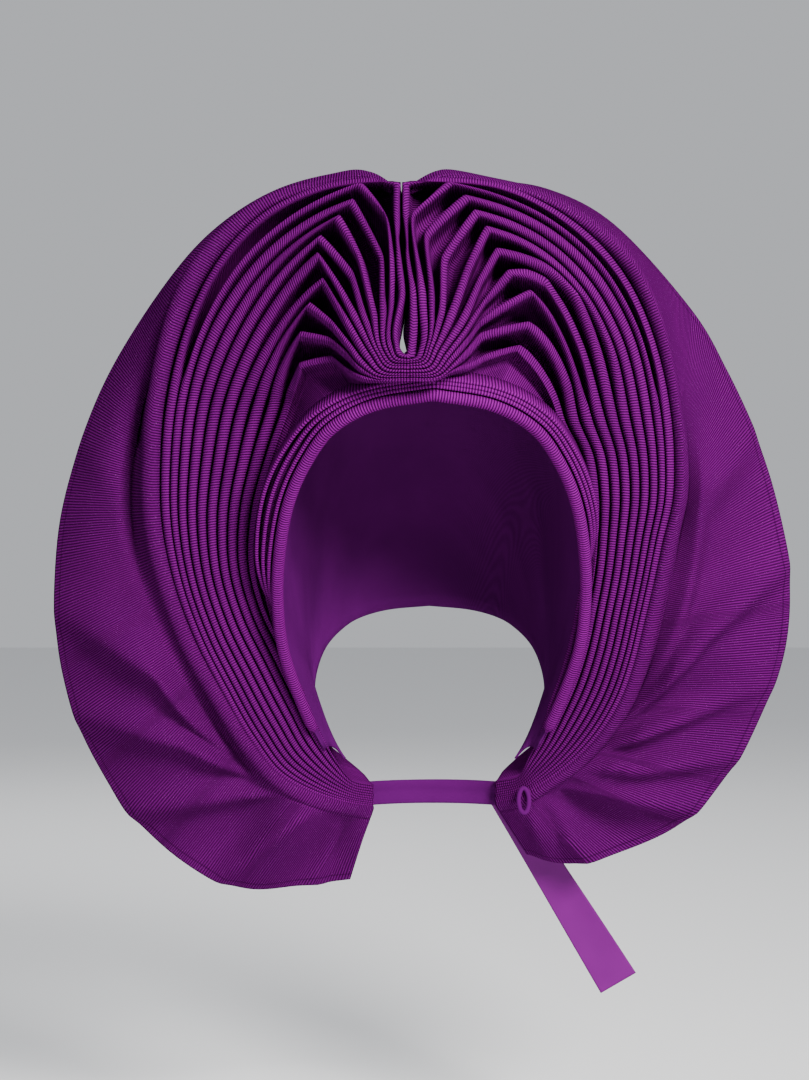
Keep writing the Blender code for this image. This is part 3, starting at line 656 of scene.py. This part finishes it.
def flank(ridge, toward, depth, fill, widest, steps):
    # one side of a fold: rounded over its ridge, then a steep wall down to the valley
    wide = np.maximum(np.linalg.norm(toward, axis=-1), 1e-6)[:, None]
    across = toward / wide
    radius = np.minimum(wide * fill, np.reshape(widest, (-1, 1)))
    drop = np.minimum(radius * 1.1, depth[:, None] * 0.6)
    back = np.array([0.0, 1.0, 0.0])
    points = []
    for angle in steps:
        turn = math.radians(angle)
        points.append(ridge + across * radius * math.sin(turn) + back * drop * (1 - math.cos(turn)))
    for share, shift in ((0.30, 0.06), (0.68, 0.28), (1.0, 1.0)):  # down and across the wall
        points.append(ridge + across * (radius + (wide - radius) * shift)
                      + back * (drop + (depth[:, None] - drop) * share))
    return points


leafLook = {"foot": 0.04, "steps": 400, "from": 0.13, "to": 0.82, "blend": 0.06, "lip": 3.4,
            "overLayers": 4.6, "lipBack": 3.0, "inside": 0.5, "underBack": 14.0, "height": -95.0,
            "deep": 6.0, "fill": 0.4}


def leafTargets(ridge):
    # where the leaf of the last fold ends: at the outermost layer, seen from the hollow's middle
    look = leafLook
    path, out = bandPath(look["foot"], 1 - look["foot"], look["steps"])
    share = np.linspace(look["foot"], 1 - look["foot"], look["steps"])
    layered = (np.clip((share - look["from"]) / look["blend"], 0, 1)
               * np.clip((look["to"] - share) / look["blend"], 0, 1))
    lip = path + out * (look["lip"] + look["overLayers"] * layered)[:, None]
    lip = lip + faceBack * look["lipBack"]
    under = path - out * look["inside"] + faceBack * look["underBack"]

    def angleOf(line):
        angle = np.arctan2(line[:, 2] - look["height"], line[:, 0] - headX)
        return np.where(angle < -math.pi / 2, angle + 2 * math.pi, angle)
    angles, seen = angleOf(path), angleOf(ridge)
    order = np.argsort(angles)
    return [np.stack([np.interp(seen, angles[order], line[order, i]) for i in range(3)], -1)
            for line in (lip, under)]


def leafColumns(ridge, depth, widest, steps):
    # the leaf of cloth that runs on from the last fold and tucks in at the layers
    lip, under = leafTargets(ridge)
    toward = lip - ridge
    shallow = np.minimum(depth, leafLook["deep"])
    columns = flank(ridge, toward, shallow, leafLook["fill"], widest, steps)[:len(steps)]
    start = columns[-1]
    dip = np.minimum(foldLook["leafDip"], np.linalg.norm(toward, axis=1) * 0.7)
    for share in np.linspace(0, 1, foldLook["leafSteps"] + 1)[1:]:
        point = start + (lip - start) * share
        point[:, 1] += dip * math.sin(math.pi * share**0.5)
        columns.append(point)
    return columns + [(lip + under) / 2, under]


def firstReach(ridge, slotLine, rollLine):
    # the first fold's outer side: to the slot in the fan, then to the broad roll
    beyond = (rollLine[1:] - ridge[crestRow + 1:]) / 2 * np.array([1.0, 0.0, 1.0])
    reach = np.maximum(np.linalg.norm(beyond, axis=1), 0.1)[:, None]
    beyond *= np.maximum(reach, foldLook["firstReach"]) / reach
    row = np.arange(crestRow + 1)
    narrow = np.exp(-((row - foldLook["slotRow"]) / foldLook["slotRows"]) ** 2)
    narrow = narrow * foldLook["slotNarrow"]
    within = (slotLine - ridge[:crestRow + 1]) * (1.0 - narrow)[:, None]
    return np.concatenate([within, beyond])


def pleatedCloth(word, side, stations, depths, slot, roll):
    # all the folds of one side as one cloth, with the leaf that runs on to the layers
    counts = fanCounts + (foldLook["rest"],) * (stations.shape[1] - 6)
    sharp = np.ones(stations.shape[1])
    sharp[4:6] = (foldLook["elbow"], foldLook["crest"])
    lines = []
    for k, points in enumerate(stations):
        bend = sharp.copy()
        if side > 0 and k in secondCorner:
            bend[secondCorner[k]] = foldLook["secondCorner"]
        lines.append(flowLine(points, bend, counts))
    lines = np.array(lines)
    for _ in range(foldLook["soften"]):
        near = slice(crestRow - 3, crestRow + 4)
        middle = (np.roll(lines, 1, axis=1) + lines * 2 + np.roll(lines, -1, axis=1)) / 4
        lines[:, near] = middle[:, near]
    depth = spread(depths, counts)
    fan, sides = [foldLook["fanWide"]], [foldLook["sideWide"]]
    widest = spread(fan * 6 + sides * (len(depths) - 6), counts)
    widestFirst = spread(fan * 5 + list(foldLook["firstWide"]) + sides * (len(depths) - 10), counts)
    rollLine = flowLine(roll, np.ones(len(roll)), counts[5:])
    slotLine = flowLine(slot, np.ones(len(slot)), counts[:5])
    steps = (20, 42, 64, 86)
    columns, owner = [], []
    for k, ridge in enumerate(lines):
        wide = widest if k else widestFirst
        outward = (lines[k - 1] - ridge) / 2 if k else firstReach(ridge, slotLine, rollLine)
        outside = flank(ridge, outward, depth, foldLook["fill"], wide, steps)[::-1]
        if k:
            outside = outside[1:]
        if k < size["pleats"] - 1:
            inward = (lines[k + 1] - ridge) / 2
            inside = flank(ridge, inward, depth, foldLook["fill"], wide, steps)
        else:
            inside = leafColumns(ridge, depth, wide, steps)
        columns += outside + [ridge] + inside
        owner += [k] * (len(outside) + 1 + len(inside))
    grid = np.stack(columns, 1)
    along = np.stack([lengths(lines[k]) for k in owner], 1)
    nodes = ["pleat_%s_%02d" % (word, k + 1) for k in range(size["pleats"])]
    piece = clothPiece(word + "PleatedCloth", grid, ribWeave(gridLengths(grid)[0], along),
                       foldLook["wall"], ribbedFinish(word + "PleatWeave"), nodes,
                       offset=-side)
    declareCloth(grid)
    print("stage:", piece.name, grid.shape)
    return {"lines": lines, "depth": depth, "roll": rollLine}


# one row for each fold that runs out from the gather over the flare:
# radius and angle where it starts, radius and angle where it ends, its breadth and its height
leftWaves = (
    (110, 42, 200, 54, 9.0, 4.0), (46, 12, 115, 31.5, 6.0, 12.0), (45, 5, 90, 14.5, 5.0, 11.0),
    (25, -6, 90, -7, 7.0, 9.5), (12, -36, 56, -37, 9.0, 9.5), (12, -72, 50, -73, 10.0, 6.5),
)
rightWaves = (
    (60, 36, 170, 58, 5.0, 9.0), (50, 31, 125, 40.5, 5.0, 13.0), (27, 27, 70, 22.8, 5.0, 11.5),
    (20, 18, 65, 7.0, 5.0, 9.0), (25, -5, 60, -9, 6.0, 9.0), (15, -32, 42, -49, 10.0, 9.0),
    (10, -70, 50, -72, 9.0, 5.0),
)
wingLook = {
    "flare": 64, "wall": 1.0, "rollFill": 0.9, "rollWide": 5.0, "rollRows": (0, 22, 55),
    "rollStart": (1.5, 2.0), "rollDepth": 0.9, "drop": 2.8, "valley": {-1: 13.0, 1: 7.0},
    "valleyRows": (0, 40, 70), "valleyStart": (4.0, 6.0), "gatherX": 46.0, "gatherZ": -231.0,
    "calm": 60.0, "paintedGlints": 0.6, "flat": (0.6, 0.2),
}


def waveHeight(point, side, waves):
    # how far the waves stand forward at these points; their undersides are the steeper
    reachX = side * point[:, 0] - wingLook["gatherX"]
    reachZ = point[:, 2] - wingLook["gatherZ"]
    radius = np.hypot(reachX, reachZ)
    angle = np.degrees(np.arctan2(reachZ, reachX))
    raised = 0.0 * radius
    for r0, a0, r1, a1, breadth, height in waves:
        t = np.clip((radius - r0) / (r1 - r0), 0, 1)
        away = (angle - (a0 + (a1 - a0) * t)) / breadth
        away = np.where(away < 0, away * wingLook["drop"], away)
        swell = np.clip(radius / wingLook["calm"], 0, 1) * np.exp(-away**2)
        starts = np.clip((radius - r0 * 0.5) / 15.0, 0, 1)
        ends = np.clip(1.4 - (radius - r1) / wingLook["calm"], 0, 1)
        raised += height * swell * starts * ends
    return raised


def wingCloth(word, side, rimRows, folds, waves):
    # the wide flare outside the folds, with its broad roll and the waves that the gather throws
    look = wingLook
    rim = np.array(rimRows)
    edge = np.stack([headX + rim[:, 0] * size["halfSpread"], forward(rim[:, 1]),
                     gatherZ + rim[:, 2] * size["rimRise"]], -1)
    roll = folds["roll"]
    after = len(roll)
    row = np.arange(after)
    edge = smoothLine(edge, after)
    groove = smoothLine(rim[:, 3], after) * size["groove"]
    lift = smoothLine(rim[:, 4], after) * size["belly"]
    inward = (folds["lines"][0][-after:] - roll) / 2
    out = edge - roll
    out[:, 1] = 0
    out /= np.linalg.norm(out, axis=1)[:, None]
    steps = (16, 34, 52, 70, 88)
    widest = np.interp(row, look["rollRows"], (*look["rollStart"], look["rollWide"]))
    depth = folds["depth"][-after:] * look["rollDepth"]
    columns = flank(roll, inward, depth, foldLook["fill"], widest, steps)[::-1]
    columns.append(roll)
    reach = np.interp(row, look["valleyRows"], (*look["valleyStart"], look["valley"][side]))
    reach *= np.interp(row, (0, after * 0.6, after * 0.85), (1.0, 1.0, 0.5))
    columns += flank(roll, out * reach[:, None], np.maximum(groove, 1.0), look["rollFill"], widest,
                     steps)
    rollColumns = len(columns)
    dip = columns[-1]
    for share in np.linspace(0, 1, look["flare"] + 1)[1:]:
        point = dip + (edge - dip) * share
        point[:, 1] -= math.sin(math.pi * share**0.8) * lift
        point[:, 1] -= waveHeight(point, side, waves) * min(share * 6, 1.0)
        columns.append(point)
    grid = np.stack(columns, 1)
    across = gridLengths(grid)[0]
    middle = rollColumns + int(look["flare"] * 0.6)
    along = np.zeros(grid.shape[:2])
    along[:, :rollColumns] = lengths(roll)[:, None]
    along[:, rollColumns:] = lengths(grid[:, middle])[:, None]
    finish = ribbedFinish(word + "WingWeave", flarePaintedShadeSettings, look["paintedGlints"], hem=True)
    piece = clothPiece(word + "WingCloth", grid, ribWeave(across, along), look["wall"], finish,
                       ["wing_" + word], offset=-side, hem=across[:, -1:] - across)
    declareCloth(grid)
    print("stage:", piece.name, grid.shape)


def bothSides():
    # the two sides meet in the slot between their first folds
    left, leftDepths, leftRoll = ridgeStations(-1, fanLeft, bendsLeft, levelLeft)
    right, rightDepths, rightRoll = ridgeStations(1, fanRight, bendsRight, levelRight)
    slot = (left[0][:6] + right[0][:6]) / 2
    slot[:2, 2] += 1.4  # the slot ends a little above the pinch
    for word, side, stations, depths, roll, rim, waves in (
            ("left", -1, left, leftDepths, leftRoll, rimLeft, leftWaves),
            ("right", 1, right, rightDepths, rightRoll, rimRight, rightWaves)):
        rolled = rollStations(stations[0][5:], roll, side)
        folds = pleatedCloth(word, side, stations, depths, slot, rolled)
        wingCloth(word, side, rim, folds, waves)


bothSides()
crownWrap()
faceBand()
bandLayers()


tieLook = {
    "half": 40.0, "back": 35.6, "bow": 13.0, "bowBend": 2.2, "low": 17.0, "wide": 13.0,
    "strapWall": 1.2, "strapFold": 0.35, "strapFlat": (0.013, 0.085), "loopWire": 1.3,
    "loopTall": 6.5, "loopWide": 2.8, "loopDeep": 1.5, "loopAside": 0.643, "loopBack": 1.7,
    "loopLow": 1.07, "tailShare": 0.9, "tailWide": 23.0, "tailNarrow": 0.72, "tailAside": 68.0,
    "tailDrop": 110.0, "tailSwing": 22.0, "tailBehind": 1.7, "tailWall": 0.7, "tailCurl": 0.8,
    "tailSlant": 0.86, "tailFlat": (0.023, 0.13),
}


def strapPlace(share):
    bend = tieLook["bowBend"]
    y = gatherY + tieLook["back"] - tieLook["bow"] * abs(share) ** bend
    slope = -bend * tieLook["bow"] * abs(share) ** (bend - 1) * np.sign(share) / tieLook["half"]
    return np.array((tieLook["half"] * share, y, gatherZ - tieLook["low"])), slope


def strapNormal(slope):
    return np.array((-slope, 1.0, 0.0)) / math.hypot(slope, 1.0)


def napeStrap():
    rows = []
    for share in np.linspace(-1, 1, 81):
        place, slope = strapPlace(share)
        across = np.linspace(-0.5, 0.5, 17)
        fold = np.cos(across * 9.4 + 0.4 * math.sin(share * 4)) * tieLook["strapFold"]
        rows.append([place + np.array((0, 0, tieLook["wide"] * a)) + strapNormal(slope) * f
                     for a, f in zip(across, fold)])
    grid = np.array(rows)
    piece = clothPiece("napeStrapCloth", grid, gridWeave(*gridLengths(grid)), tieLook["strapWall"],
                       plainFinish("strapWeave"), ["nape_strap"], offset=0.0)
    declareCloth(grid)
    print("stage:", piece.name)


def tieLoop():
    centre = np.array((tieLook["loopAside"] * halfBreadth, gatherY + tieLook["loopBack"],
                       gatherZ - tieLook["loopLow"] * tieLook["low"]))
    turn = np.linspace(0, 2 * math.pi, 64, endpoint=False)
    path = centre + np.stack([tieLook["loopWide"] * np.sin(turn),
                              tieLook["loopDeep"] * np.cos(turn),
                              tieLook["loopTall"] * np.cos(turn)], -1)
    curve = bpy.data.curves.new("gatherLoop", "CURVE")
    curve.dimensions = "3D"
    curve.bevel_depth = tieLook["loopWire"] * mm
    curve.bevel_resolution = 4
    spline = curve.splines.new("POLY")
    spline.points.add(len(path) - 1)
    for point, place in zip(spline.points, path):
        point.co = (*(place * mm), 1.0)
    spline.use_cyclic_u = True
    piece = bpy.data.objects.new("gatherLoop", curve)
    bpy.context.scene.collection.objects.link(piece)
    curve.materials.append(plainFinish("loopWeave"))
    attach(piece, "root")
    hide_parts("tie_loop")
    print("stage:", piece.name)


def tieTail():
    start, slope = strapPlace(tieLook["tailShare"])
    start = start + strapNormal(slope) * tieLook["tailBehind"]
    narrow, slant = tieLook["tailNarrow"], tieLook["tailSlant"]
    rows = []
    for share in np.linspace(0, 1, 90):
        swing = tieLook["tailSwing"] * (1 - (1 - share) ** 3)
        middle = start + (tieLook["tailAside"] * share, swing, -tieLook["tailDrop"] * share)
        wide = np.array((slant, slant * slope * (1 - share), 0.5))
        wide *= tieLook["tailWide"] * (narrow + (1 - narrow) * share) / np.linalg.norm(wide)
        across = np.linspace(-0.5, 0.5, 21)
        curl = np.cos(across * 3.0) * tieLook["tailCurl"] * math.sin(math.pi * share)
        rows.append([middle + wide * a + np.array((0, c, 0)) for a, c in zip(across, curl)])
    grid = np.array(rows)
    piece = clothPiece("looseTailCloth", grid, gridWeave(*gridLengths(grid)), tieLook["tailWall"],
                       satinFinish("tailSatin"), ["tie_tail"], offset=0.0)
    declareCloth(grid)
    print("stage:", piece.name)


napeStrap()
tieLoop()
tieTail()


studioLook = {
    "floor": (0.80, 0.805, 0.815), "half": 6.0, "low": -0.46,
    "sky": (0.80, 0.82, 0.86), "strength": 0.64,
    "lights": (  # name, place, aim, width, power, colour
        ("keyLight", (0.66, -1.36, 0.66), (0.0, 0.0, -0.06), 0.5, 90.0, (1.0, 0.98, 0.95)),
        ("fillLight", (-1.3, -1.0, 0.3), (0.0, 0.0, -0.1), 1.2, 1.5, (0.92, 0.95, 1.0)),
        ("backLight", (-0.5, 1.5, 1.1), (0.0, 0.0, -0.1), 1.2, 16.0, (1.0, 1.0, 1.0)),
    ),
}


def studio():
    half, low = studioLook["half"], studioLook["low"]
    floor = bpy.data.meshes.new("paleFloor")
    corners = [(-half, -half, low), (half, -half, low), (half, half, low), (-half, half, low)]
    floor.from_pydata(corners, [], [(0, 1, 2, 3)])
    ground = bpy.data.objects.new("paleFloor", floor)
    bpy.context.scene.collection.objects.link(ground)
    pale = Finish("palePaint", 0.8, 0.5)
    pale.shader.inputs["Base Color"].default_value = (*studioLook["floor"], 1.0)
    floor.materials.append(pale.material)
    world = bpy.data.worlds.new("softSky")
    world.use_nodes = True
    sky = world.node_tree.nodes["Background"]
    sky.inputs["Color"].default_value = (*studioLook["sky"], 1.0)
    sky.inputs["Strength"].default_value = studioLook["strength"]
    bpy.context.scene.world = world
    for name, place, aim, width, power, colour in studioLook["lights"]:
        light = bpy.data.lights.new(name, "AREA")
        light.size, light.energy, light.color = width, power, colour
        lamp = bpy.data.objects.new(name, light)
        lamp.location = place
        lamp.rotation_euler = (Vector(aim) - Vector(place)).to_track_quat("-Z", "Y").to_euler()
        bpy.context.scene.collection.objects.link(lamp)


cameraLook = {"lens": 70.5, "sensor": 36.0, "place": (-0.0159, -1.1, -0.0988)}  # metres


def photoCamera():
    lens = bpy.data.cameras.new("photoCamera")
    lens.lens, lens.sensor_width = cameraLook["lens"], cameraLook["sensor"]
    camera = bpy.data.objects.new("photoCamera", lens)
    camera.location = cameraLook["place"]
    camera.rotation_euler = (math.pi / 2, 0, 0)
    bpy.context.scene.collection.objects.link(camera)
    bpy.context.scene.camera = camera


studio()
photoCamera()
print("stage: lights and camera")
